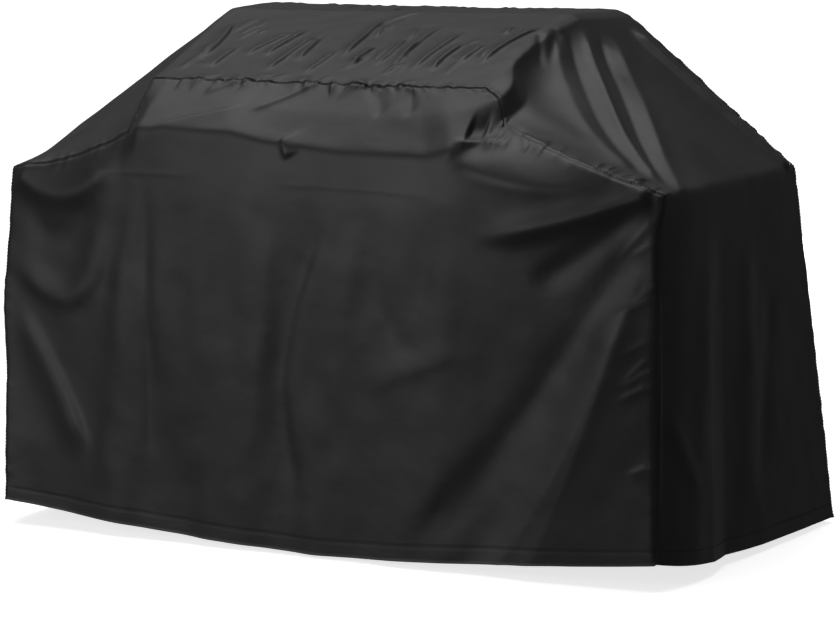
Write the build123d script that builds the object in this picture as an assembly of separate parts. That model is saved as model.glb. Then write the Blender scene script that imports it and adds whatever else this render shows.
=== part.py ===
from build123d import *
import os

# Fabric cover for an outdoor grill, open at the bottom, drawn as it hangs over the grill: it
# stands out at the level of the side shelves, rises over the shoulders to the lid and flares
# to the hem. Millimetres. The origin is on the ground, under the middle of the hem.
# +X is to the right, -Y to the front, +Z up.

# Size over the hem, and overall height
cover_width = 1440.0
cover_depth = 750.0
cover_height = 970.0

# Hem: the turned-up edge, three plies thick
hem_height = 30.0
fabric_thickness = 1.5
hem_thickness = 3 * fabric_thickness

# Corners at the level of the grill's side shelves
shelf_height = 686.0
shelf_left_x = -700.0
shelf_right_x = 650.0
shelf_front_y = -310.0
ridge_y = 294.0

# Fold over the handle of the grill's lid
handle_height = 752.0
handle_front_y = -350.0
handle_left_x = -425.0
handle_right_x = 250.0

# Front seam over the lid, then the crest where the top turns nearly level
seam_height = 852.0
seam_y = -235.0
seam_left_x = -440.0
seam_right_x = 260.0
crest_height = 960.0
crest_y = 110.0
crest_left_x = -455.0
crest_right_x = 280.0

# Sewing
binding_width = 14.0
binding_thickness = 1.2
stitch_inset = 7.0
thread_width = 1.2
thread_thickness = 0.5

half_width = cover_width / 2
half_depth = cover_depth / 2

# Each shoulder is flat behind its front corner, so its edge runs on from crest to ridge
shoulder_rise = (cover_height - shelf_height) / (crest_height - shelf_height)
ridge_left_x = shelf_left_x + (crest_left_x - shelf_left_x) * shoulder_rise
ridge_right_x = shelf_right_x + (crest_right_x - shelf_right_x) * shoulder_rise

# Corners of the flat facets, all on one convex outer surface
hem_front_left = Vector(-half_width, -half_depth, hem_height)
hem_front_right = Vector(half_width, -half_depth, hem_height)
hem_back_left = Vector(-half_width, half_depth, hem_height)
hem_back_right = Vector(half_width, half_depth, hem_height)
shelf_front_left = Vector(shelf_left_x, shelf_front_y, shelf_height)
shelf_front_right = Vector(shelf_right_x, shelf_front_y, shelf_height)
shelf_back_left = Vector(shelf_left_x, ridge_y, shelf_height)
shelf_back_right = Vector(shelf_right_x, ridge_y, shelf_height)
handle_left = Vector(handle_left_x, handle_front_y, handle_height)
handle_right = Vector(handle_right_x, handle_front_y, handle_height)
seam_left = Vector(seam_left_x, seam_y, seam_height)
seam_right = Vector(seam_right_x, seam_y, seam_height)
crest_left = Vector(crest_left_x, crest_y, crest_height)
crest_right = Vector(crest_right_x, crest_y, crest_height)
ridge_left = Vector(ridge_left_x, ridge_y, cover_height)
ridge_right = Vector(ridge_right_x, ridge_y, cover_height)

# Every facet's edges are cut towards this point, so that neighbours meet face to face. It is
# level with the top of the hem, which makes the lower edges horizontal.
heart = Vector(0, 0, hem_height)

facets = {
    "top_panel": [
        [seam_left, seam_right, crest_right, crest_left],
        [crest_left, crest_right, ridge_right, ridge_left],
    ],
    "left_shoulder_panel": [
        [shelf_front_left, handle_left, seam_left],
        [shelf_front_left, seam_left, crest_left],
        [shelf_front_left, crest_left, ridge_left, shelf_back_left],
    ],
    "right_shoulder_panel": [
        [handle_right, shelf_front_right, seam_right],
        [seam_right, shelf_front_right, crest_right],
        [shelf_front_right, shelf_back_right, ridge_right, crest_right],
    ],
    "left_end_panel": [
        [hem_back_left, hem_front_left, shelf_front_left, shelf_back_left],
    ],
    "right_end_panel": [
        [hem_front_right, hem_back_right, shelf_back_right, shelf_front_right],
    ],
    "front_lid_panel": [
        [handle_left, handle_right, seam_right, seam_left],
    ],
    "front_skirt_panel": [
        [hem_front_left, hem_front_right, handle_right, handle_left],
        [hem_front_left, handle_left, shelf_front_left],
        [hem_front_right, shelf_front_right, handle_right],
    ],
    "back_panel": [
        [hem_back_right, hem_back_left, ridge_left, ridge_right],
        [hem_back_left, shelf_back_left, ridge_left],
        [shelf_back_right, hem_back_right, ridge_right],
    ],
}

# The runs of each long seam, as the facet of the centre strip beside it and its seam edge
end_left, end_right = facets["left_end_panel"][0], facets["right_end_panel"][0]
front_left, back_left = facets["left_shoulder_panel"][0], facets["left_shoulder_panel"][2]
front_right, back_right = facets["right_shoulder_panel"][0], facets["right_shoulder_panel"][2]
front_seam_runs = [
    (end_left, hem_front_left, shelf_front_left),
    (front_left, shelf_front_left, handle_left),
    (front_left, handle_left, seam_left),
    (facets["top_panel"][0], seam_left, seam_right),
    (front_right, seam_right, handle_right),
    (front_right, handle_right, shelf_front_right),
    (end_right, shelf_front_right, hem_front_right),
]
back_seam_runs = [
    (end_left, hem_back_left, shelf_back_left),
    (back_left, shelf_back_left, ridge_left),
    (facets["top_panel"][1], ridge_left, ridge_right),
    (back_right, ridge_right, shelf_back_right),
    (end_right, shelf_back_right, hem_back_right),
]


def plate(corners, depth, thickness):
    """Flat plate parallel to a facet, starting at a depth below it, negative for outside."""
    normal = (corners[1] - corners[0]).cross(corners[2] - corners[0]).normalized()
    distance = abs((corners[0] - heart).dot(normal))
    outer_scale = 1 - depth / distance
    inner_scale = 1 - (depth + thickness) / distance
    outer = [heart + (corner - heart) * outer_scale for corner in corners]
    inner = [heart + (corner - heart) * inner_scale for corner in corners]
    rings = [outer, inner]
    for i in range(len(corners)):
        j = (i + 1) % len(corners)
        rings.append([outer[i], outer[j], inner[j], inner[i]])
    return Solid(Shell([Face(Wire.make_polygon(ring, close=True)) for ring in rings]))


def seam_strip(corners, start, end, near, far):
    """Corners of the part of a facet that lies between two distances from its edge."""
    count = len(corners)
    first, last = corners.index(start), corners.index(end)
    step = 1 if (first + 1) % count == last else -1
    before, after = corners[(first - step) % count], corners[(last + step) % count]
    along = (end - start).normalized()

    def inset(corner, towards, distance):
        side = towards - corner
        rise = (side - along * side.dot(along)).length
        return corner + side * (distance / rise)

    return [
        inset(start, before, near),
        inset(end, after, near),
        inset(end, after, far),
        inset(start, before, far),
    ]


def seam_binding(runs):
    """Tape sewn over the seam's raw edges, against the inside of the centre strip."""
    return [
        plate(seam_strip(*run, 0, binding_width), fabric_thickness, binding_thickness)
        for run in runs
    ]


def seam_stitching(runs):
    """Row of thread along the outside of the centre strip, beside its seam."""
    far = stitch_inset + thread_width
    return [
        plate(seam_strip(*run, stitch_inset, far), -thread_thickness, thread_thickness)
        for run in runs
    ]


def hem_side(turn, half_length, half_span):
    """One side of the hem, mitred at both corners, turned about the vertical axis."""
    inner_length, inner_span = half_length - hem_thickness, half_span - hem_thickness
    outline = Polyline(
        (-half_length, -half_span),
        (half_length, -half_span),
        (inner_length, -inner_span),
        (-inner_length, -inner_span),
        close=True,
    )
    return Rot(0, 0, turn) * extrude(make_face(outline), amount=hem_height)


def hem_stitching(turn, half_length, half_span):
    """Row of thread along the outside of one side of the hem, under its upper fold."""
    row = Box(
        2 * (half_length - stitch_inset),
        thread_thickness,
        thread_width,
        align=(Align.CENTER, Align.MAX, Align.MAX),
    )
    return Rot(0, 0, turn) * (Pos(0, -half_span, hem_height - stitch_inset) * row)


nodes = {}
for name, outlines in facets.items():
    nodes[name] = [plate(outline, 0, fabric_thickness) for outline in outlines]
for side, runs in (("front", front_seam_runs), ("back", back_seam_runs)):
    nodes[side + "_seam_binding"] = seam_binding(runs)
    nodes[side + "_seam_stitching"] = seam_stitching(runs)
for side, turn, half_length, half_span in (
    ("front", 0, half_width, half_depth),
    ("right", 90, half_depth, half_width),
    ("back", 180, half_width, half_depth),
    ("left", 270, half_depth, half_width),
):
    nodes[side + "_hem"] = hem_side(turn, half_length, half_span).solids()
    nodes[side + "_hem_stitching"] = hem_stitching(turn, half_length, half_span).solids()

os.makedirs("parts", exist_ok=True)
for name, solids in nodes.items():
    shape = Compound(children=solids) if len(solids) > 1 else solids[0]
    export_step(shape, "parts/" + name + ".step")
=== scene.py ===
import math
import bpy
import numpy as np
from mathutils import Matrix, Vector


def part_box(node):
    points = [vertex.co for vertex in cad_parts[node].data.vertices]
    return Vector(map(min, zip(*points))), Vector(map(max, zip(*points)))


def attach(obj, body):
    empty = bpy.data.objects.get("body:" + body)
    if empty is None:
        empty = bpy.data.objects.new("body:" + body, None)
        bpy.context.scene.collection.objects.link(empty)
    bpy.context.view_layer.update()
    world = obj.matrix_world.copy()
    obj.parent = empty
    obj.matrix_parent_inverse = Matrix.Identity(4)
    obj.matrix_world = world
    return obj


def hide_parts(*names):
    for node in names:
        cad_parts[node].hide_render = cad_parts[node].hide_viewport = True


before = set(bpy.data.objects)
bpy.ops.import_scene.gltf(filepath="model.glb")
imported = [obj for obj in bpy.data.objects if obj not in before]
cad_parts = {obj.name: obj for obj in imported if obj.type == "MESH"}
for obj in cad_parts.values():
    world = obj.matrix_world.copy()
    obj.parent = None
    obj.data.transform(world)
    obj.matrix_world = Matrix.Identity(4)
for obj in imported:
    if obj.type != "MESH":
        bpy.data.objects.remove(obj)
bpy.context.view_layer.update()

# A fabric cover for a cart grill, as it hangs over the lid and the side shelves. It is one
# welded grid of three cloths: a centre strip that runs from the left hem over the lid to the
# right hem, a front panel and a back panel. The grid is laid out over the grill's shape,
# folded and rumpled, and then cut into the pieces. Metres, in the frame of the CAD model.

# ---------------------------------------------------------------- places, from the frame
# The cloth stands off the CAD shoulder at the back, and its front hem bows out from its corners
BACK_SLACK, FRONT_BOW, HEM_BACK = 0.011, 0.020, 0.372
hem_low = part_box("front_hem")[0]
end_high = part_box("left_end_panel")[1]
lid_low, lid_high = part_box("front_lid_panel")
left_low, left_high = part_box("left_shoulder_panel")
right_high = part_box("right_shoulder_panel")[1]
skirt_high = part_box("front_skirt_panel")[1]
top_low, top_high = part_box("top_panel")

SHELF_LEFT, SHELF_RIGHT, SHELF_Z = left_low.x, right_high.x, end_high.z
SHELF_FRONT, SHELF_BACK = skirt_high.y, left_high.y + BACK_SLACK
HANDLE_Y, HANDLE_Z = lid_low.y, skirt_high.z
LID_LEFT, LID_RIGHT = lid_low.x, lid_high.x
SEAM_Y, SEAM_Z = top_low.y, lid_high.z
TOP_Z = top_high.z
HEM_FRONT = hem_low.y + FRONT_BOW

# ---------------------------------------------------------------- grid
END_CELLS, LEFT_CELLS, RISE_CELLS, TOP_CELLS, RIGHT_CELLS = 160, 88, 48, 280, 152
STRIP_CELLS = 220
HEM_CELLS = 7
RUNS = [END_CELLS, LEFT_CELLS, RISE_CELLS, TOP_CELLS, RISE_CELLS, RIGHT_CELLS, END_CELLS]
MARKS = np.concatenate([[0], np.cumsum(RUNS)])


def spread(cells, *points):
    """Points spaced evenly by length along a chain of straight runs."""
    chain = np.array(points, float)
    reach = np.concatenate([[0], np.cumsum(np.linalg.norm(np.diff(chain, axis=0), axis=1))])
    at = np.linspace(0, reach[-1], cells + 1)
    return np.stack([np.interp(at, reach, chain[:, k]) for k in range(3)], 1)


def mix(low, high, share):
    return low + (high - low) * share


def ease(t):
    t = np.clip(t, 0, 1)
    return t * t * (3 - 2 * t)


def arc(start, end, bow=0.0, cells=4):
    """Points from start to end, on a curve that stands off to the left of the straight line by
    bow at its middle. In space, bow is a vector."""
    start, end = np.array(start, float), np.array(end, float)
    run = end - start
    if len(start) == 2:
        bow = bow * np.array([-run[1], run[0]]) / np.hypot(*run)
    t = np.linspace(0, 1, cells + 1)[:, None]
    return start + run * t + 4 * t * (1 - t) * np.array(bow, float)


# Shares of the strip's width over which the step round the lid and the shelf corner's pull die out
STEP_SHARE, CORNER_SHARE = 0.115, 0.065
# The lid's top rises from its front seam to this line, and then only a little, to the ridge. Its
# right edge is crowned.
LID_RISE_Y, RIDGE_RISE, CROWN = 0.13, 0.004, 0.012
# How far the ends stand out at the hem, on the left and along the right
LEFT_FLARE = 0.025
RIGHT_FLARES = ((0.0, 0.24, 0.36, 0.55, 1.0), (0.022, 0.038, 0.024, 0.044, 0.070))
# Hem height at the back, and how much higher it is at the front corners
HEM_Z, HEM_LIFT = 0.012, 0.04
END_STEPS, SHOULDER_STEPS = 24, 12


def rib(share):
    """Chain across the centre strip, from the left hem over the top to the right hem. Share 0 is
    the front seam, which steps in round the lid's front, and share 1 is the back seam."""
    step = math.exp(-share / STEP_SHARE)
    corner = math.exp(-((share / CORNER_SHARE) ** 1.3))
    shelf_y, hem_y = mix(SHELF_FRONT, SHELF_BACK, share), mix(HEM_FRONT, HEM_BACK, share)
    lid_y = mix(SEAM_Y, SHELF_BACK, share)
    lid_z = np.interp(lid_y, (SEAM_Y, LID_RISE_Y, SHELF_BACK), (SEAM_Z, TOP_Z, TOP_Z + RIDGE_RISE))
    crown = CROWN * math.sin(math.pi * min(1.0, share / 0.7))

    left_end, right_end = [], []
    left_flare = LEFT_FLARE * (1 - corner)
    right_flare = np.interp(share, *RIGHT_FLARES)
    for height in np.linspace(SHELF_Z, HEM_Z + HEM_LIFT * math.exp(-share / 0.25), END_STEPS):
        drop = 1 - height / SHELF_Z
        y = mix(shelf_y, hem_y, drop)
        bulge = 0.012 * corner * math.exp(-(((height - 0.44) / 0.10) ** 2))
        left_end.append((SHELF_LEFT - left_flare * drop - bulge, y, height))
        tuck = corner * mix(0.5, 1.0, ease((SHELF_Z - height) / 0.08))
        right_end.append((SHELF_RIGHT + right_flare * drop - mix(0.018, 0.028, drop) * tuck,
                          y - 0.032 * tuck * (1 - drop), height))

    # The lid's edges, the feet of its sides, and the round of its right side
    left_lid = np.array((LID_LEFT + 0.012 - 0.055 * share, lid_y, lid_z))
    left_foot = left_lid - (0.045 * (1 - step), 0.09 * step, 0.030 + 0.065 * step)
    reach = -0.010 + 0.022 * math.exp(-(((share - 0.08) / 0.08) ** 2)) + 0.045 * share**3
    right_lid = np.array((LID_RIGHT + reach, lid_y, lid_z + crown))
    right_foot = right_lid + (0.028 + 0.027 * step + 0.02 * share, -0.030 * step,
                              -mix(0.056, 0.030, share))
    lift = np.interp(share, (0.0, 0.2, 1.0), (0.014, 0.028, 0.004))
    right_round = mix(right_lid, right_foot, 0.55) + (0.006 * step, 0, lift)

    # The shoulders are full, but the seam sags on the left and is pulled forward on the right
    left_bow = (0, -0.005 * step, 0.020 - 0.040 * step)
    forward = 0.040 * math.exp(-share / 0.06)
    right_bow = (0, -forward, 0.026 * math.exp(-(((share - 0.42) / 0.2) ** 2)))
    runs = [
        spread(END_CELLS, *left_end[::-1]),
        spread(LEFT_CELLS, *arc(left_end[0], left_foot, left_bow, SHOULDER_STEPS)),
        spread(RISE_CELLS, left_foot, left_lid),
        spread(TOP_CELLS, left_lid, right_lid),
        spread(RISE_CELLS, right_lid, right_round, right_foot),
        spread(RIGHT_CELLS, *arc(right_foot, right_end[0], right_bow, SHOULDER_STEPS)),
        spread(END_CELLS, *right_end),
    ]
    return np.concatenate([run[:-1] for run in runs] + [runs[-1][-1:]])


def strip_grid():
    """Points of the centre strip, along by across."""
    return np.stack([rib(share) for share in np.linspace(0, 1, STRIP_CELLS + 1)], 1)


def coons(top, bottom, left, right):
    """Sheet between four edges, columns by rows, with rows counted down from the top."""
    s = np.linspace(0, 1, len(top))[:, None, None]
    t = np.linspace(0, 1, len(left))[None, :, None]
    ruled = (1 - t) * top[:, None] + t * bottom[:, None] + (1 - s) * left[None] + s * right[None]
    corners = (1 - s) * ((1 - t) * top[0] + t * bottom[0]) + s * ((1 - t) * top[-1] + t * bottom[-1])
    return ruled - corners


def calm(line, reach=40):
    """The same line without its short bends. Its ends stay."""
    weights = np.exp(-0.5 * (np.arange(-3 * reach, 3 * reach + 1) / reach) ** 2)
    before = 2 * line[0] - line[3 * reach:0:-1]
    after = 2 * line[-1] - line[-2:-3 * reach - 2:-1]
    long = np.concatenate([before, line, after])
    columns = [np.convolve(long[:, k], weights / weights.sum(), "valid") for k in range(3)]
    return np.stack(columns, 1)


def taut(line, outward):
    """The same line pulled straight, front to back, between the points that stand proudest."""
    proud = line[:, 1] * outward
    reach = np.arange(len(line), dtype=float)
    kept = []
    for k in range(len(line)):
        while len(kept) > 1:
            i, j = kept[-2], kept[-1]
            if (proud[j] - proud[i]) * (k - i) > (proud[k] - proud[i]) * (j - i):
                break
            kept.pop()
        kept.append(k)
    pulled = line.copy()
    pulled[:, 1] = np.interp(reach, reach[kept], proud[kept]) * outward
    return pulled


def hang(top, bottom, left, right, outward, fade=0.026):
    """Panel that hangs from its top edge. It is taut between that edge's proud points, and the
    edge's own bends die out a little way below it."""
    easy = calm(taut(top, outward), 24)
    bends = (top - easy)[:, None]
    depth = np.linalg.norm(top[:, None] - coons(top, bottom, left, right), axis=2)[..., None]
    return coons(easy, bottom, left, right) + bends * np.exp(-((depth / fade) ** 1.5))


def hem_line(start, end, cells, dip, front):
    """Lower edge of a panel, lowest near its middle and bowed outward."""
    line = spread(cells, start, end)
    t = np.linspace(-1, 1, cells + 1)
    base = np.abs(t) ** 1.5
    line[:, 2] = dip + (line[:, 2] - dip) * base
    line[:, 1] += front * (1 - t * t)
    return line


def soften(grid, place, width, reach):
    """Rounds the strip along its length near one mark. Its front edge stays."""
    share = ease(np.arange(grid.shape[1]) / (0.2 * STRIP_CELLS))
    near = np.exp(-(((np.arange(len(grid)) - place) / width) ** 2))
    calmer = np.stack([calm(grid[:, k], reach) for k in range(grid.shape[1])], 1)
    return grid + (near[:, None] * share)[..., None] * (calmer - grid)


# The cloth runs in a soft hollow from the lid's right side to the shoulder
strip = soften(strip_grid(), MARKS[5], 40, 18)
front_edge, back_edge = strip[:, 0], strip[:, -1]

# Lower edge of the lid's front: it lies on the handle's left half and hangs lower on the right
HANDLE_LIFTS = [(-0.40, 0.015), (-0.20, 0.015), (-0.13, 0.0), (0.03, -0.015), (0.20, -0.015), (0.25, 0.0)]
handle_points = [(x, HANDLE_Y, HANDLE_Z + lift) for x, lift in HANDLE_LIFTS]
handle_points.append((LID_RIGHT + 0.010, HANDLE_Y + 0.015, HANDLE_Z + 0.010))
handle_points.append((LID_RIGHT + 0.035, HANDLE_Y + 0.040, HANDLE_Z + 0.018))
handle_row = spread(TOP_CELLS, front_edge[MARKS[2]], *handle_points, front_edge[MARKS[5]])
band = coons(
    front_edge[MARKS[3]:MARKS[4] + 1],
    handle_row,
    front_edge[MARKS[2]:MARKS[3] + 1][::-1],
    front_edge[MARKS[4]:MARKS[5] + 1],
)
skirt = hang(
    np.concatenate([front_edge[MARKS[1]:MARKS[2]], handle_row, front_edge[MARKS[5] + 1:MARKS[6] + 1]]),
    hem_line(front_edge[0], front_edge[-1], LEFT_CELLS + TOP_CELLS + RIGHT_CELLS, 0.010, -0.014),
    front_edge[:MARKS[1] + 1][::-1],
    front_edge[MARKS[6]:],
    -1,
)
back = hang(
    back_edge[MARKS[1]:MARKS[6] + 1],
    hem_line(back_edge[0], back_edge[-1], int(MARKS[6] - MARKS[1]), 0.009, 0.002),
    back_edge[:MARKS[1] + 1][::-1],
    back_edge[MARKS[6]:],
    1,
)

# ---------------------------------------------------------------- welded cloth
points = [strip.reshape(-1, 3)]
strip_ids = np.arange(strip.shape[0] * strip.shape[1]).reshape(strip.shape[:2])


def add_patch(grid, shared):
    """Ids for a patch's points, new except on the edges that it shares with others."""
    ids = np.full(grid.shape[:2], -1)
    for place, known in shared:
        ids[place] = known
    fresh = ids < 0
    start = sum(len(p) for p in points)
    ids[fresh] = start + np.arange(fresh.sum())
    points.append(grid[fresh])
    return ids


front_ids, back_ids = strip_ids[:, 0], strip_ids[:, -1]
band_ids = add_patch(band, [
    (np.s_[:, 0], front_ids[MARKS[3]:MARKS[4] + 1]),
    (np.s_[0, :], front_ids[MARKS[2]:MARKS[3] + 1][::-1]),
    (np.s_[-1, :], front_ids[MARKS[4]:MARKS[5] + 1]),
])
skirt_ids = add_patch(skirt, [
    (np.s_[:, 0], np.concatenate([
        front_ids[MARKS[1]:MARKS[2]], band_ids[:, -1], front_ids[MARKS[5] + 1:MARKS[6] + 1]])),
    (np.s_[0, :], front_ids[:MARKS[1] + 1][::-1]),
    (np.s_[-1, :], front_ids[MARKS[6]:]),
])
back_panel_ids = add_patch(back, [
    (np.s_[:, 0], back_ids[MARKS[1]:MARKS[6] + 1]),
    (np.s_[0, :], back_ids[:MARKS[1] + 1][::-1]),
    (np.s_[-1, :], back_ids[MARKS[6]:]),
])
cloth = np.concatenate(points)


def quads(ids, flip=False):
    """Faces of a grid of point ids, turned so that they face outward."""
    faces = np.stack([ids[:-1, :-1], ids[1:, :-1], ids[1:, 1:], ids[:-1, 1:]], -1).reshape(-1, 4)
    return faces[:, ::-1] if flip else faces


all_faces = np.concatenate([
    quads(strip_ids), quads(band_ids, True), quads(skirt_ids, True), quads(back_panel_ids)])
edges = np.unique(np.sort(np.concatenate(
    [all_faces[:, [k, (k + 1) % 4]] for k in range(4)]), axis=1), axis=0)
valence = np.bincount(edges.ravel(), minlength=len(cloth))[:, None]


def neighbours(values):
    """Mean of each point's neighbours."""
    total = np.empty_like(values)
    for k in range(values.shape[1]):
        column = values[:, k]
        total[:, k] = np.bincount(edges[:, 0], column[edges[:, 1]], len(values))
        total[:, k] += np.bincount(edges[:, 1], column[edges[:, 0]], len(values))
    return total / valence


rim_ids = np.concatenate([strip_ids[0], strip_ids[-1], skirt_ids[:, -1], back_panel_ids[:, -1]])
is_rim = np.zeros(len(cloth), bool)
is_rim[rim_ids] = True


def relax(values, rounds, share=0.5):
    """Rounds the cloth's folds. The lower edge stays."""
    for _ in range(rounds):
        moved = values + share * (neighbours(values) - values)
        moved[is_rim] = values[is_rim]
        values = moved
    return values


def normals(values):
    """Outward direction at each point."""
    a, b, c, d = (values[all_faces[:, k]] for k in range(4))
    face = np.cross(c - a, d - b)
    total = np.zeros_like(values)
    for k in range(4):
        for axis in range(3):
            total[:, axis] += np.bincount(all_faces[:, k], face[:, axis], len(values))
    return total / np.maximum(np.linalg.norm(total, axis=1, keepdims=True), 1e-12)


cloth = relax(cloth, 18)


# ---------------------------------------------------------------- folds
# Each view lists the two axes of its paths, and the axis and sign that its cloth faces.
VIEWS = {
    "front": (0, 2, 1, -1),
    "back": (0, 2, 1, 1),
    "top": (0, 1, 2, 1),
    "right": (1, 2, 0, 1),
    "left": (1, 2, 0, -1),
}


def smooth_path(path, steps=8):
    """Round line through a few points."""
    points = np.array(path, float)
    if len(points) < 3:
        return points
    ends = np.concatenate([[2 * points[0] - points[1]], points, [2 * points[-1] - points[-2]]])
    line = []
    for i in range(len(points) - 1):
        a, b, c, d = ends[i:i + 4]
        for t in np.arange(steps) / steps:
            line.append(0.5 * (2 * b + (c - a) * t + (2 * a - 5 * b + 4 * c - d) * t**2
                               + (3 * b - a - 3 * c + d) * t**3))
    return np.array(line + [points[-1]])


# A fold moves only cloth that faces its view by more than this, and within this many widths
LEAST_FACING, FOLD_REACH = 0.35, 3.2


def fold(view, path, height, left, right=None, power=2.0, start=0.25, end=0.25):
    """Adds a fold to the rise of the cloth: its width to the left and right of the path, its
    power (2 is round, 1 is a crease) and the shares of its length over which its ends fade."""
    right = left if right is None else right
    first, second, facing, sign = VIEWS[view]
    line = smooth_path(path)
    reach = FOLD_REACH * max(left, right)
    near = facings[:, facing] * sign > LEAST_FACING
    for axis, k in ((first, 0), (second, 1)):
        near &= cloth[:, axis] > line[:, k].min() - reach
        near &= cloth[:, axis] < line[:, k].max() + reach
    ids = np.flatnonzero(near)
    where = cloth[ids][:, [first, second]]
    best = np.full(len(ids), np.inf)
    side = np.zeros(len(ids))
    travel = np.zeros(len(ids))
    lengths = np.linalg.norm(np.diff(line, axis=0), axis=1)
    done = 0.0
    for a, b, length in zip(line[:-1], line[1:], lengths):
        along = (b - a) / length
        offset = where - a
        t = np.clip(offset @ along, 0, length)
        away = offset - t[:, None] * along
        distance = np.hypot(away[:, 0], away[:, 1])
        closer = distance < best
        best[closer] = distance[closer]
        turn = along[0] * offset[:, 1] - along[1] * offset[:, 0]
        side[closer] = turn[closer]
        travel[closer] = done + t[closer]
        done += length
    share = travel / lengths.sum()
    bump = height * np.exp(-((best / np.where(side > 0, left, right)) ** power))
    if start:
        bump *= ease(share / start)
    if end:
        bump *= ease((1 - share) / end)
    rise[ids] += bump * ease((facings[ids, facing] * sign - LEAST_FACING) * 5)


def waves(places, seed, length, count=24):
    """Smooth random height, about 1 at most, made of many gentle waves."""
    rng = np.random.default_rng(seed)
    directions = rng.normal(size=(count, 3))
    directions /= np.linalg.norm(directions, axis=1, keepdims=True)
    directions *= rng.uniform(0.6, 1.5, (count, 1)) * 2 * math.pi / length
    phases = rng.uniform(0, 2 * math.pi, count)
    total = np.zeros(len(places))
    for direction, phase in zip(directions, phases):
        total += np.sin(places @ direction + phase)
    return total / math.sqrt(count)


def by_left(across, down):
    """Place on the front, measured from the left shelf corner."""
    return SHELF_LEFT + across, SHELF_Z - down


def by_right(across, down):
    """Place on the front, measured from the right shelf corner."""
    return SHELF_RIGHT - across, SHELF_Z - down


def by_handle(across, down):
    """Place on the front, measured from the left end of the lid's handle."""
    return LID_LEFT + across, HANDLE_Z - down


facings = normals(cloth)
rise = np.zeros(len(cloth))
# Front: swags between the left shelf corner and the lid's left edge
fold("front", arc(by_left(0.01, 0.01), by_left(0.26, -0.03), -0.06), 0.012, 0.036, 0.024,
     power=1.6, start=0.1)
fold("front", arc(by_left(0.04, 0.09), by_left(0.21, 0.05), -0.06), -0.003, 0.030)
fold("front", arc(by_left(0.00, 0.17), by_left(0.23, 0.08), -0.12), 0.005, 0.032, 0.020, end=0.35)
fold("front", arc(by_left(0.02, 0.26), by_left(0.19, 0.55), 0.01), 0.006, 0.016, 0.034)
# Front: soft upright folds below the handle
fold("front", arc(by_handle(0.06, 0.05), by_handle(0.07, 0.65)), -0.0028, 0.022, 0.014)
fold("front", arc(by_handle(0.14, 0.13), by_handle(0.16, 0.57), 0.02), 0.003, 0.045)
fold("front", [by_handle(0.44, 0.10), by_handle(0.35, 0.40), by_handle(0.38, 0.66)],
     -0.0034, 0.016, 0.036)
fold("front", arc(by_handle(0.49, 0.13), by_handle(0.47, 0.55)), 0.003, 0.040)
# Front: lobe that hangs from the right seam
fold("front", arc(by_right(0.50, -0.05), by_right(0.06, -0.01), -0.025), 0.017, 0.042, 0.160,
     power=1.5, start=0.6, end=0.5)
fold("front", arc(by_right(0.41, -0.05), by_right(0.09, -0.01), -0.025), 0.006, 0.036, 0.013,
     power=1.3, start=0.15)
# Front: ridges and hollows that run out from the right shelf corner, the last ones to the hem
fold("front", arc(by_right(0.37, 0.09), by_right(0.03, 0.00), -0.01), 0.014, 0.022, 0.016,
     power=1.6, start=0.45, end=0.05)
fold("front", arc(by_right(0.25, 0.17), by_right(0.05, 0.02), -0.01), -0.006, 0.022)
fold("front", arc(by_right(0.03, 0.05), by_right(0.47, 0.66), 0.015), -0.007, 0.040, 0.030,
     start=0.12, end=0.15)
fold("front", arc(by_right(0.03, 0.09), by_right(0.36, 0.74), 0.035), 0.005, 0.022, 0.050,
     power=1.4, start=0.15, end=0.1)
fold("front", arc(by_right(0.05, 0.13), by_right(0.30, 0.76), 0.02), 0.020, 0.120, 0.065,
     power=1.5, start=0.2, end=0.1)
# Right end: soft upright folds
fold("right", arc((-0.15, 0.64), (-0.25, 0.06), 0.01), 0.003, 0.034, end=0)
fold("right", arc((0.04, 0.60), (0.00, 0.08)), 0.004, 0.036, end=0.1)
fold("right", arc((0.15, 0.50), (0.05, 0.12)), -0.004, 0.030, end=0.2)
fold("right", arc((-0.33, 0.32), (-0.23, 0.15)), 0.004, 0.020)
# Right shoulder: ridges and hollows that fan out from the lid's corner to the shelf corner
FAN = [(0.005, 0.018), (-0.004, 0.012), (0.009, 0.010), (-0.005, 0.010), (0.008, 0.016)]
for k, (height, width) in enumerate(FAN):
    start = (LID_RIGHT + 0.005 + 0.015 * k, 0.05 + 0.035 * k)
    end = (SHELF_RIGHT - 0.085 + 0.022 * k, SHELF_FRONT + 0.03)
    fold("top", arc(start, end, -0.030 + 0.008 * k), height, width, power=1.4, start=0.12, end=0.10)
fold("top", arc((0.33, 0.26), (0.67, 0.27), -0.01), 0.009, 0.020, 0.010, start=0.1, end=0.1)
# Left shoulder and left end
fold("top", [(-0.50, 0.10), (-0.55, -0.02), (-0.62, -0.15), (-0.67, -0.25)], 0.006, 0.020)
fold("top", [(-0.51, -0.05), (-0.55, -0.14), (-0.62, -0.24)], -0.005, 0.018)
fold("left", [(-0.14, 0.62), (-0.17, 0.42), (-0.20, 0.20), (-0.22, 0.06)], 0.006, 0.024, end=0)
fold("left", [(0.06, 0.60), (0.04, 0.33), (0.05, 0.06)], 0.005, 0.030, end=0.1)
fold("left", [(0.18, 0.50), (0.16, 0.30), (0.19, 0.12)], -0.005, 0.026)
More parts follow.
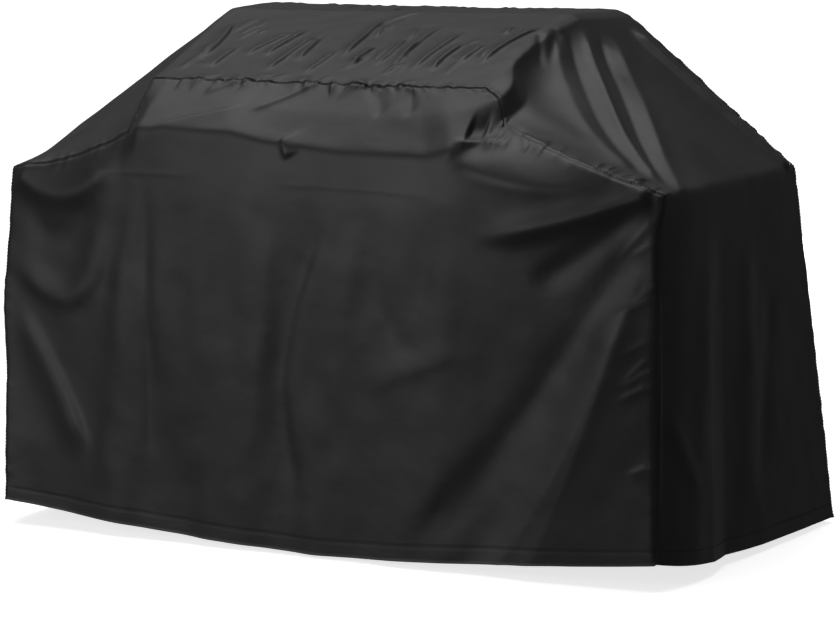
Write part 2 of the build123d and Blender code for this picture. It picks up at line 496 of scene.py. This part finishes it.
# Back: swags from both shelf corners and soft upright folds
fold("back", [(-0.66, 0.66), (-0.56, 0.58), (-0.46, 0.56), (-0.36, 0.60)], 0.008, 0.034, 0.018)
fold("back", [(-0.68, 0.56), (-0.60, 0.42), (-0.50, 0.36), (-0.42, 0.38)], 0.007, 0.030, 0.018)
fold("back", [(-0.68, 0.48), (-0.60, 0.30), (-0.54, 0.12)], 0.007, 0.020, 0.034)
fold("back", [(0.62, 0.66), (0.52, 0.57), (0.42, 0.54), (0.30, 0.58)], 0.009, 0.018, 0.034)
fold("back", [(0.63, 0.55), (0.50, 0.36), (0.38, 0.14)], 0.010, 0.036, 0.022)
fold("back", [(-0.30, 0.90), (-0.27, 0.60), (-0.25, 0.25)], -0.004, 0.020)
fold("back", [(-0.08, 0.75), (-0.04, 0.45), (-0.06, 0.10)], -0.005, 0.016, 0.030)
fold("back", [(0.16, 0.92), (0.13, 0.60), (0.17, 0.20)], 0.005, 0.026)
cloth = relax(cloth + facings * rise[:, None], 6)


# ---------------------------------------------------------------- drape
# The drape's moves are smoothed over the fine grid, and cut where the cloth faces right
SMOOTHINGS, RIGHT_END_CUT = 100, 0.7


def drape(step=4, frames=24, most=0.009):
    """Hangs a coarse copy of the cloth under its own weight, a little too large for its shape so
    that it buckles, and gives each point's move on the fine grid. The lid and the shoulders are
    held, and no point moves further than most."""
    grids = [strip_ids, band_ids, skirt_ids, back_panel_ids]
    faces = np.concatenate([quads(ids[::step, ::step], flip)
                            for ids, flip in zip(grids, (False, True, True, False))])
    used, inverse = np.unique(faces, return_inverse=True)
    mesh = bpy.data.meshes.new("drape")
    mesh.from_pydata(cloth[used].tolist(), [], inverse.reshape(-1, 4).tolist())
    hanging = bpy.data.objects.new("drape", mesh)
    scene = bpy.context.scene
    scene.collection.objects.link(hanging)
    free_from, free_over = SHELF_Z + 0.04, 0.22
    slack = ease((free_from - cloth[used, 2]) / free_over)
    group = hanging.vertex_groups.new(name="held")
    for index, free in enumerate(slack):
        group.add([index], 1.0 - 0.98 * float(free), "REPLACE")
    modifier = hanging.modifiers.new("drape", "CLOTH")
    settings = modifier.settings
    settings.quality = 5
    settings.mass = 0.02
    settings.tension_stiffness = settings.compression_stiffness = 12
    settings.shear_stiffness = 6
    settings.bending_stiffness = 6.0
    settings.vertex_group_mass = "held"
    settings.pin_stiffness = 0.4
    settings.shrink_min = -0.0045
    modifier.collision_settings.use_collision = False
    scene.frame_start, scene.frame_end = 1, frames
    modifier.point_cache.frame_start, modifier.point_cache.frame_end = 1, frames
    for frame_number in range(1, frames + 1):
        scene.frame_set(frame_number)
    shape = hanging.evaluated_get(bpy.context.evaluated_depsgraph_get()).data
    hung = np.empty(len(used) * 3, np.float32)
    shape.vertices.foreach_get("co", hung)
    moved = hung.reshape(-1, 3) - cloth[used]
    reach = np.linalg.norm(moved, axis=1, keepdims=True)
    moved *= most * np.tanh(reach / most) / np.maximum(reach, 1e-9)
    bpy.data.objects.remove(hanging)
    scene.frame_set(1)
    coarse, fine = np.zeros_like(cloth), np.zeros_like(cloth)
    coarse[used] = moved
    for ids in grids:
        rows = np.arange(ids.shape[0]) / step
        cols = np.arange(ids.shape[1]) / step
        row = np.minimum(rows.astype(int), ids.shape[0] // step - 1)
        col = np.minimum(cols.astype(int), ids.shape[1] // step - 1)
        a, b = (rows - row)[:, None, None], (cols - col)[None, :, None]
        known = coarse[ids[::step, ::step]]
        low = known[row][:, col] * (1 - a) + known[row + 1][:, col] * a
        high = known[row][:, col + 1] * (1 - a) + known[row + 1][:, col + 1] * a
        fine[ids] = low * (1 - b) + high * b
    for _ in range(SMOOTHINGS):
        fine += 0.5 * (neighbours(fine) - fine)
    stretched = ease(normals(cloth)[:, :1] * 2)
    return fine * (1 - RIGHT_END_CUT * stretched)


cloth = cloth + drape()

# ---------------------------------------------------------------- fine folds
# Places just past the front seam, where short creases start: over the lid, on the right shoulder
# and down the right end
LID_SEAM_Y, LID_SEAM_Z, SHOULDER_SEAM_Y, END_SEAM_X = -0.234, 0.858, -0.325, 0.62
facings = normals(cloth)
rise = 0.0008 * waves(cloth, 3, 0.30) + 0.0003 * waves(cloth, 5, 0.09)
rng = np.random.default_rng(21)
# Top: long rumples that start behind the lid seam, then short ones all over
for x in np.arange(-0.38, 0.23, 0.042):
    y, size, lean = rng.uniform(-0.22, -0.12), rng.uniform(0.08, 0.26), rng.normal(0.12, 0.16)
    fold("top", arc((x, y), (x + lean * size, y + size), rng.uniform(-0.06, 0.06) * size),
         rng.uniform(0.0048, 0.0076), rng.uniform(0.014, 0.024), 0.0030, power=1.3)
for _ in range(34):
    x, y = rng.uniform(-0.40, 0.20), rng.uniform(-0.20, 0.24)
    size, lean = rng.uniform(0.03, 0.10), rng.normal(0.20, 0.28)
    fold("top", [(x, y), (x + lean * size * 0.4, y + size * 0.5), (x + lean * size, y + size)],
         rng.uniform(0.0015, 0.0042), size * rng.uniform(0.10, 0.22), 0.0032,
         power=1.4, start=0.4, end=0.4)
# Short creases that run off the lid's seam, down its front and back over its top
for _ in range(26):
    x, size, lean = rng.uniform(-0.42, 0.23), rng.uniform(0.012, 0.035), rng.normal(-0.4, 0.5)
    fold("front", [(x, LID_SEAM_Z), (x + lean * size, LID_SEAM_Z - size)],
         rng.uniform(0.001, 0.003), rng.uniform(0.005, 0.010), 0.0030, power=1.5, start=0, end=0.6)
for _ in range(22):
    x, size, lean = rng.uniform(-0.42, 0.23), rng.uniform(0.015, 0.040), rng.normal(0.4, 0.5)
    fold("top", [(x, LID_SEAM_Y), (x + lean * size, LID_SEAM_Y + size)],
         rng.uniform(0.001, 0.003), rng.uniform(0.006, 0.012), 0.0030, power=1.5, start=0, end=0.6)
# Gathers beside the seam of the right shoulder
for _ in range(20):
    x, size, lean = rng.uniform(0.30, 0.66), rng.uniform(0.015, 0.035), rng.normal(0.0, 0.4)
    fold("top", [(x, SHOULDER_SEAM_Y), (x + lean * size, SHOULDER_SEAM_Y + size + 0.02)],
         rng.uniform(0.001, 0.0035), rng.uniform(0.004, 0.010), 0.0035, power=1.5, start=0, end=0.6)
# Short creases beside the upright seam, below the right shelf corner
for _ in range(9):
    z, size = rng.uniform(0.10, 0.64), rng.uniform(0.020, 0.070)
    fold("front", [(END_SEAM_X, z), (END_SEAM_X - size, z - size * rng.uniform(0.2, 1.2))],
         rng.uniform(0.001, 0.0025), rng.uniform(0.008, 0.020), 0.0045, power=1.4, start=0, end=0.6)
# Right side of the lid: streaks under the overhang
fold("top", arc((LID_RIGHT, 0.00), (LID_RIGHT + 0.035, -0.08)), -0.003, 0.008, start=0, end=0.5)
fold("top", arc((LID_RIGHT + 0.015, 0.04), (LID_RIGHT + 0.045, -0.06)), -0.004, 0.009, start=0, end=0.6)
# Lid's front: creases that come down from the seam, and others that rise to it
fold("front", arc((0.03, SEAM_Z), (0.08, SEAM_Z - 0.055), 0.005), -0.004, 0.016, 0.010, start=0)
fold("front", arc((0.11, SEAM_Z), (0.14, SEAM_Z - 0.05)), -0.0035, 0.011, start=0)
fold("front", arc((-0.19, SEAM_Z - 0.05), (-0.08, SEAM_Z), -0.005), 0.003, 0.014, 0.004, power=1.3, end=0)
fold("front", arc((-0.38, SEAM_Z - 0.085), (-0.19, SEAM_Z - 0.04)), 0.004, 0.006, 0.016, power=1.5)
fold("front", arc((-0.30, SEAM_Z - 0.025), (-0.24, SEAM_Z)), 0.003, 0.012, 0.004, power=1.3, end=0)
# Small tab of cloth that folds over the handle
fold("front", arc(by_handle(0.345, -0.012), by_handle(0.365, 0.030)), 0.005, 0.024, 0.008, power=1.6)
# Packing crease across the front
fold("front", arc(by_left(0.13, 0.00), by_left(0.46, 0.00)), 0.0011, 0.004, power=1.2)
fold("front", arc(by_left(0.58, 0.01), by_left(0.94, 0.02), 0.005), 0.0011, 0.004, power=1.2)
# Short creases on the front
fold("front", arc((0.07, 0.31), (0.29, 0.40), 0.005), 0.0016, 0.026, 0.016, start=0.4)
fold("front", arc((0.10, 0.49), (0.18, 0.37)), -0.0012, 0.022, 0.016, start=0.4)
# Line and pocket beside the lid's right edge
fold("front", arc((LID_RIGHT - 0.02, HANDLE_Z + 0.012), (LID_RIGHT + 0.10, HANDLE_Z + 0.012)),
     0.005, 0.006, power=1.5)
fold("front", arc((LID_RIGHT, HANDLE_Z + 0.034), (LID_RIGHT + 0.035, HANDLE_Z + 0.036)), -0.010, 0.018)
cloth = cloth + facings * rise[:, None]


# ---------------------------------------------------------------- seams
def panel_side(depth):
    """Ids of the front panel along its seam, some cells in from it."""
    last = skirt_ids.shape[0] - 1
    down = np.arange(END_CELLS + 1)
    level_left, level_right = np.arange(1, LEFT_CELLS), np.arange(last - RIGHT_CELLS + 1, last)
    risen = np.arange(RISE_CELLS + 1)
    flat = np.arange(1, TOP_CELLS)
    end = band_ids.shape[0] - 1
    return np.concatenate([
        skirt_ids[depth, np.maximum(down[::-1], depth)],
        skirt_ids[np.maximum(level_left, depth), depth],
        band_ids[depth, np.maximum(risen[::-1], depth)],
        band_ids[np.clip(flat, depth, end - depth), depth],
        band_ids[end - depth, np.maximum(risen, depth)],
        skirt_ids[np.minimum(level_right, last - depth), depth],
        skirt_ids[last - depth, np.maximum(down, depth)],
    ])


def back_side(depth):
    """Ids of the back panel along its seam, some cells in from it."""
    last = back_panel_ids.shape[0] - 1
    down = np.arange(END_CELLS + 1)
    level = np.arange(1, last)
    return np.concatenate([
        back_panel_ids[depth, np.maximum(down[::-1], depth)],
        back_panel_ids[np.clip(level, depth, last - depth), depth],
        back_panel_ids[last - depth, np.maximum(down, depth)],
    ])


def length_along(line):
    """Length from a line's start to each of its points."""
    return np.concatenate([[0], np.cumsum(np.linalg.norm(np.diff(line, axis=0), axis=1))])


# Spacing of the puckers, how many make one stretch of strength, and the rise of the folded plies
PUCKER_STEP, STRENGTH_STEP = 0.011, 9
STRIP_PLIES, PANEL_PLIES = 0.0009, 0.0001


def sew(line_ids, strip_rows, panel_rows, seed):
    """Pulls a seam in, raises the folded edges beside it and puckers the cloth along it."""
    line = cloth[line_ids]
    reach = length_along(line)
    rng = np.random.default_rng(seed)
    knots = np.arange(0, reach[-1] + 0.2, PUCKER_STEP)
    pucker = np.interp(reach, knots, rng.uniform(-1, 1, len(knots)))
    strong = knots[::STRENGTH_STEP]
    strength = np.interp(reach, strong, rng.uniform(0.3, 1.0, len(strong)))
    level = ease((line[:, 2] - SHELF_Z + 0.02) / 0.05)
    strength *= 0.4 + 0.6 * level
    moves = np.zeros(len(cloth))
    moves[line_ids] = -0.0009 - 0.0007 * level + 0.0012 * pucker * strength
    for rows, plies in ((strip_rows, STRIP_PLIES), (panel_rows, PANEL_PLIES)):
        for depth in range(1, len(rows)):
            away = np.linalg.norm(cloth[rows[depth]] - line, axis=1)
            height = plies * (0.3 + 0.7 * level) * ease((0.012 - away) / 0.004)
            height += 0.0026 * pucker * strength * np.exp(-((away / 0.014) ** 2))
            moves[rows[depth]] = height
    return moves[:, None] * facings


facings = normals(cloth)
DEPTHS = range(11)
front_strip = [strip_ids[:, depth] for depth in DEPTHS]
front_rows = [panel_side(depth) for depth in DEPTHS]
back_strip = [strip_ids[:, STRIP_CELLS - depth] for depth in DEPTHS]
back_rows = [back_side(depth) for depth in DEPTHS]
cloth = cloth + sew(front_ids, front_strip, front_rows, 11) + sew(back_ids, back_strip, back_rows, 12)
facings = normals(cloth)


# ---------------------------------------------------------------- pieces
def add_piece(name, places, faces, material, where=None, smooth=True):
    """Mesh piece that rides on the cover, with an optional map of its cloth in metres."""
    mesh = bpy.data.meshes.new(name)
    mesh.from_pydata(np.asarray(places).tolist(), [], np.asarray(faces).tolist())
    mesh.polygons.foreach_set("use_smooth", np.full(len(mesh.polygons), smooth))
    if where is not None:
        corners = np.empty(len(mesh.loops), np.int32)
        mesh.loops.foreach_get("vertex_index", corners)
        layer = mesh.uv_layers.new(name="cloth")
        layer.data.foreach_set("uv", np.asarray(where, np.float32)[corners].ravel())
    mesh.materials.append(material)
    piece = bpy.data.objects.new(name, mesh)
    bpy.context.scene.collection.objects.link(piece)
    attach(piece, "root")
    return piece


def cloth_map(ids):
    """Place of each point of a grid on its flat cloth, in metres."""
    grid = cloth[ids]
    along = np.linalg.norm(np.diff(grid, axis=0), axis=2).mean(1)
    across = np.linalg.norm(np.diff(grid, axis=1), axis=2).mean(0)
    u, v = np.concatenate([[0], np.cumsum(along)]), np.concatenate([[0], np.cumsum(across)])
    return np.stack(np.broadcast_arrays(u[:, None], v[None, :]), -1)


def cloth_piece(name, grids, material):
    """One piece from grids of point ids, given with their maps and the side they face."""
    used, inverse = np.unique(np.concatenate([quads(ids, flip) for ids, _, flip in grids]),
                              return_inverse=True)
    where = np.zeros((len(cloth), 2))
    for ids, places, _ in grids:
        where[ids] = places
    return add_piece(name, cloth[used], inverse.reshape(-1, 4), material, where[used])


# How far the stitches pull the hem in, and how far its inner ply lies behind the outer one
STITCH_PULL, HEM_GAP = 0.0005, 0.0028


def hem_piece(name, ids, material, flip):
    """Turned-up hem from rows of ids that run down to the edge: outer ply, pulled in along its
    stitches, fold and inner ply."""
    rows = cloth[ids]
    out = facings[ids]
    down = rows[:, -1] - rows[:, -2]
    down /= np.linalg.norm(down, axis=1, keepdims=True)
    count = ids.shape[1]
    lifts = [0.0, -STITCH_PULL] + [0.0] * (count - 2)
    outer = [rows[:, k] + out[:, k] * lift for k, lift in enumerate(lifts)]
    edge = out[:, -1]
    turn = [rows[:, -1] + edge * 0.0008 + down * 0.0013, rows[:, -1] - edge * 0.0008 + down * 0.0017,
            rows[:, -1] - edge * 0.0022 + down * 0.0008]
    inner = [rows[:, k] - out[:, k] * HEM_GAP for k in range(count - 1, 0, -1)]
    inner.append(rows[:, 1] - out[:, 1] * 0.0004)
    grid = np.stack(outer + turn + inner, 1)
    numbers = np.arange(grid.shape[0] * grid.shape[1]).reshape(grid.shape[:2])
    u = length_along(rows[:, -1])
    v = length_along(grid[len(grid) // 2])
    where = np.stack(np.broadcast_arrays(u[:, None], v[None, :]), -1).reshape(-1, 2)
    return add_piece(name, grid.reshape(-1, 3), quads(numbers, flip), material, where)


def binding_piece(name, rows_a, rows_b, material):
    """Tape on the inside of a seam, over its raw edges."""
    rows = [rows_a[k] for k in (4, 3, 2, 1)] + [rows_a[0]] + [rows_b[k] for k in (1, 2, 3, 4)]
    inset = (0.0012, 0.0018, 0.0020, 0.0022, 0.0024, 0.0022, 0.0020, 0.0018, 0.0012)
    thick = 0.0009
    near = np.stack([cloth[ids] - facings[ids] * depth for ids, depth in zip(rows, inset)], 1)
    far = np.stack([cloth[ids] - facings[ids] * (depth + thick) for ids, depth in zip(rows, inset)], 1)
    loop = np.concatenate([near, far[:, ::-1], near[:, :1]], 1)[HEM_CELLS:-HEM_CELLS]
    numbers = np.arange(loop.shape[0] * loop.shape[1]).reshape(loop.shape[:2])
    return add_piece(name, loop.reshape(-1, 3), quads(numbers), material)


def thread_piece(name, line, out, material, stitch=0.0048, pitch=0.0066, radius=0.00042):
    """Row of stitches: short rounded threads that dip into the cloth at both ends."""
    reach = length_along(line)
    count = int(reach[-1] / pitch)
    starts = (np.arange(count) + 0.5) * reach[-1] / count - stitch / 2
    steps = np.array([0.0, 0.08, 0.3, 0.5, 0.7, 0.92, 1.0])
    lifts = np.array([-0.6, 0.35, 0.95, 1.1, 0.95, 0.35, -0.6]) * radius
    sizes = np.array([0.35, 0.9, 1.0, 1.0, 1.0, 0.9, 0.35]) * radius
    at = starts[:, None] + steps * stitch
    sample = lambda values: np.stack([np.interp(at, reach, values[:, k]) for k in range(3)], -1)
    centre, up = sample(line), sample(out)
    run = np.gradient(centre, axis=1)
    side = np.cross(run, up)
    side /= np.linalg.norm(side, axis=2, keepdims=True)
    centre = centre + up * lifts[:, None]
    angles = np.arange(6) * math.pi / 3
    ring = side[:, :, None] * np.cos(angles)[:, None] + up[:, :, None] * np.sin(angles)[:, None]
    places = centre[:, :, None] + ring * sizes[:, None, None]
    numbers = np.arange(places[..., 0].size).reshape(places.shape[:3])
    after = np.roll(numbers, -1, axis=2)
    faces = np.stack([numbers[:, :-1], numbers[:, 1:], after[:, 1:], after[:, :-1]], -1).reshape(-1, 4)
    return add_piece(name, places.reshape(-1, 3), faces, material)


# ---------------------------------------------------------------- materials
def new_material(name):
    """Node material, its nodes and its links."""
    material = bpy.data.materials.new(name)
    material.use_nodes = True
    return material, material.node_tree.nodes, material.node_tree.links


def mix_colours(nodes, links, factor, low, high):
    """Colour that goes from low to high with a factor."""
    mix = nodes.new("ShaderNodeMix")
    mix.data_type = "RGBA"
    mix.inputs["A"].default_value = low
    mix.inputs["B"].default_value = high
    links.new(factor, mix.inputs["Factor"])
    return mix.outputs["Result"]


def map_range(nodes, links, value, from_low, from_high, to_low, to_high):
    """Value moved from one range to another."""
    node = nodes.new("ShaderNodeMapRange")
    links.new(value, node.inputs["Value"])
    node.inputs["From Min"].default_value = from_low
    node.inputs["From Max"].default_value = from_high
    node.inputs["To Min"].default_value = to_low
    node.inputs["To Max"].default_value = to_high
    return node.outputs["Result"]


def noise(nodes, links, place, scale, detail=3.0):
    """Cloudy value from 0 to 1."""
    node = nodes.new("ShaderNodeTexNoise")
    node.inputs["Scale"].default_value = scale
    node.inputs["Detail"].default_value = detail
    links.new(place, node.inputs["Vector"])
    return node.outputs["Fac"]


def bump(nodes, links, height, strength, distance, below=None):
    """Normal that follows a height, on top of another one."""
    node = nodes.new("ShaderNodeBump")
    node.inputs["Strength"].default_value = strength
    node.inputs["Distance"].default_value = distance
    links.new(height, node.inputs["Height"])
    if below is not None:
        links.new(below, node.inputs["Normal"])
    return node.outputs["Normal"]


def weave(nodes, links, place, threads):
    """Plain weave: two crossing sets of threads, so many to the metre."""
    waves_out = []
    cycles = threads * math.pi / 10
    for direction in ("X", "Y"):
        node = nodes.new("ShaderNodeTexWave")
        node.bands_direction = direction
        node.inputs["Scale"].default_value = cycles
        node.inputs["Distortion"].default_value = 0.0
        links.new(place, node.inputs["Vector"])
        waves_out.append(node.outputs["Fac"])
    both = nodes.new("ShaderNodeMath")
    both.operation = "MAXIMUM"
    links.new(waves_out[0], both.inputs[0])
    links.new(waves_out[1], both.inputs[1])
    return both.outputs["Value"]


THREADS_PER_METRE = 1600


def fabric_material():
    """Black coated polyester: faint weave, dull sheen, cloudy wear and fine rumples."""
    material, nodes, links = new_material("coated_polyester")
    shader = nodes["Principled BSDF"]
    place = nodes.new("ShaderNodeTexCoord")
    cloth_place = nodes.new("ShaderNodeUVMap")
    cloth_place.uv_map = "cloth"
    solid, flat = place.outputs["Object"], cloth_place.outputs["UV"]
    cloud = noise(nodes, links, solid, 5.0)
    fine = noise(nodes, links, solid, 60.0)
    links.new(mix_colours(nodes, links, cloud, (0.0085, 0.0085, 0.009, 1), (0.0125, 0.0125, 0.013, 1)),
              shader.inputs["Base Color"])
    links.new(map_range(nodes, links, cloud, 0.3, 0.7, 0.44, 0.54), shader.inputs["Roughness"])
    shader.inputs["Specular IOR Level"].default_value = 0.5
    shader.inputs["Sheen Weight"].default_value = 0.04
    shader.inputs["Sheen Roughness"].default_value = 0.45
    rumples = bump(nodes, links, noise(nodes, links, solid, 22.0, 4.0), 0.35, 0.0025)
    grain = bump(nodes, links, fine, 0.25, 0.0004, rumples)
    links.new(bump(nodes, links, weave(nodes, links, flat, THREADS_PER_METRE), 0.25, 0.00015, grain),
              shader.inputs["Normal"])
    return material


def thread_material():
    """Twisted black thread, a little greyer than the cloth."""
    material, nodes, links = new_material("polyester_thread")
    shader = nodes["Principled BSDF"]
    place = nodes.new("ShaderNodeTexCoord")
    twist = noise(nodes, links, place.outputs["Object"], 900.0)
    links.new(mix_colours(nodes, links, twist, (0.007, 0.007, 0.0075, 1), (0.016, 0.016, 0.0165, 1)),
              shader.inputs["Base Color"])
    links.new(map_range(nodes, links, twist, 0.3, 0.7, 0.6, 0.75), shader.inputs["Roughness"])
    links.new(bump(nodes, links, twist, 0.5, 0.0002), shader.inputs["Normal"])
    return material


def binding_material():
    """Woven tape."""
    material, nodes, links = new_material("binding_tape")
    shader = nodes["Principled BSDF"]
    place = nodes.new("ShaderNodeTexCoord")
    ribs = noise(nodes, links, place.outputs["Object"], 500.0)
    links.new(mix_colours(nodes, links, ribs, (0.010, 0.010, 0.011, 1), (0.022, 0.022, 0.023, 1)),
              shader.inputs["Base Color"])
    links.new(map_range(nodes, links, ribs, 0.3, 0.7, 0.65, 0.8), shader.inputs["Roughness"])
    links.new(bump(nodes, links, ribs, 0.4, 0.0003), shader.inputs["Normal"])
    return material


fabric, thread, tape = fabric_material(), thread_material(), binding_material()

# ---------------------------------------------------------------- build the cover
strip_map, band_map, skirt_map, back_map = (
    cloth_map(ids) for ids in (strip_ids, band_ids, skirt_ids, back_panel_ids))
skirt_map = skirt_map + (-skirt_map[LEFT_CELLS, 0, 0], band_map[0, -1, 1])
cut = HEM_CELLS
strip_piece = cloth_piece("centre_strip", [(strip_ids[cut:-cut], strip_map[cut:-cut], False)], fabric)
front_piece = cloth_piece("front_panel", [(band_ids, band_map, True),
                                          (skirt_ids[:, :-cut], skirt_map[:, :-cut], True)], fabric)
back_piece = cloth_piece("back_cloth", [(back_panel_ids[:, :-cut], back_map[:, :-cut], False)], fabric)
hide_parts("left_end_panel", "left_shoulder_panel", "top_panel",
            "right_shoulder_panel", "right_end_panel")
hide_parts("front_lid_panel", "front_skirt_panel")
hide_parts("back_panel")

HEMS = {
    "front": (skirt_ids[:, -cut - 1:], True),
    "right": (strip_ids[-cut - 1:].T, True),
    "back": (back_panel_ids[:, -cut - 1:], False),
    "left": (strip_ids[cut::-1].T, False),
}
for side_name, (ids, flip) in HEMS.items():
    hem_piece(side_name + "_hem_cloth", ids, fabric, flip)
    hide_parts(side_name + "_hem")
    line, out = cloth[ids[:, 1]], facings[ids[:, 1]]
    threads = thread_piece(side_name + "_hem_thread", line - out * 0.0003, out, thread)
    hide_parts(side_name + "_hem_stitching")

for seam_name, rows_a, rows_b in (("front", front_strip, front_rows), ("back", back_strip, back_rows)):
    tape_piece = binding_piece(seam_name + "_seam_tape", rows_a, rows_b, tape)
    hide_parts(seam_name + "_seam_binding")
    line, out = cloth[rows_a[1]], facings[rows_a[1]]
    threads = thread_piece(seam_name + "_seam_thread", line, out, thread)
    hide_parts(seam_name + "_seam_stitching")

# ---------------------------------------------------------------- stage
FLOOR_HALF = 80.0
FLOOR_GLOW = 0.75
WORLD_STRENGTH = 0.085


def make_floor():
    """Plain pale floor. It is lit for the eye and throws no light back on the cover."""
    mesh = bpy.data.meshes.new("floor")
    corners = [(-1, -1), (1, -1), (1, 1), (-1, 1)]
    mesh.from_pydata([(x * FLOOR_HALF, y * FLOOR_HALF, 0) for x, y in corners], [], [(0, 1, 2, 3)])
    floor = bpy.data.objects.new("floor", mesh)
    bpy.context.scene.collection.objects.link(floor)
    pale = bpy.data.materials.new("pale_floor")
    pale.use_nodes = True
    shader = pale.node_tree.nodes["Principled BSDF"]
    shader.inputs["Base Color"].default_value = (0.85, 0.85, 0.85, 1)
    shader.inputs["Roughness"].default_value = 0.9
    shader.inputs["Specular IOR Level"].default_value = 0.1
    shader.inputs["Emission Color"].default_value = (1, 1, 1, 1)
    shader.inputs["Emission Strength"].default_value = FLOOR_GLOW
    mesh.materials.append(pale)
    floor.visible_glossy = False
    floor.visible_diffuse = False


def make_light(kind, name, place, aim, energy, **sizes):
    """Light at a place, turned towards a point."""
    light = bpy.data.lights.new(name, kind)
    light.energy = energy
    for key, value in sizes.items():
        setattr(light, key, value)
    lamp = bpy.data.objects.new(name, light)
    lamp.location = place
    lamp.rotation_mode = "QUATERNION"
    lamp.rotation_quaternion = (Vector(aim) - Vector(place)).to_track_quat("-Z", "Y")
    bpy.context.scene.collection.objects.link(lamp)


make_floor()
world = bpy.data.worlds.new("studio")
bpy.context.scene.world = world
world.use_nodes = True
world.node_tree.nodes["Background"].inputs["Color"].default_value = (1, 1, 1, 1)
world.node_tree.nodes["Background"].inputs["Strength"].default_value = WORLD_STRENGTH
bpy.context.scene.view_settings.view_transform = "Standard"

MIDDLE = (0, 0, 0.6)
# The camera stands to the right of the front, a little above the cover, and looks slightly down
CAMERA_PLACE, AZIMUTH, ELEVATION = (2.634, -5.279, 1.208), 26.4, 7.9
SENSOR_WIDTH, LENS = 36, 134.5
make_light("SUN", "overhead_sky", (-0.6, 0.4, 3.4), MIDDLE, 1.6, angle=math.radians(60))
make_light("AREA", "front_fill", (-2.5, -5.1, 1.6), MIDDLE, 84,
           shape="RECTANGLE", size=3.0, size_y=3.0)
make_light("AREA", "back_fill", (-1.2, 5.0, 0.5), (0, 0, 0.45), 70,
           shape="RECTANGLE", size=3.0, size_y=0.6)

camera_data = bpy.data.cameras.new("camera")
camera_data.sensor_width, camera_data.lens = SENSOR_WIDTH, LENS
camera = bpy.data.objects.new("camera", camera_data)
bpy.context.scene.collection.objects.link(camera)
azimuth, elevation = math.radians(AZIMUTH), math.radians(ELEVATION)
forward = Vector((-math.sin(azimuth) * math.cos(elevation), math.cos(azimuth) * math.cos(elevation),
                  -math.sin(elevation)))
camera.location = CAMERA_PLACE
camera.rotation_mode = "QUATERNION"
camera.rotation_quaternion = forward.to_track_quat("-Z", "Y")
camera_data.clip_start, camera_data.clip_end = 0.1, 200
bpy.context.scene.camera = camera
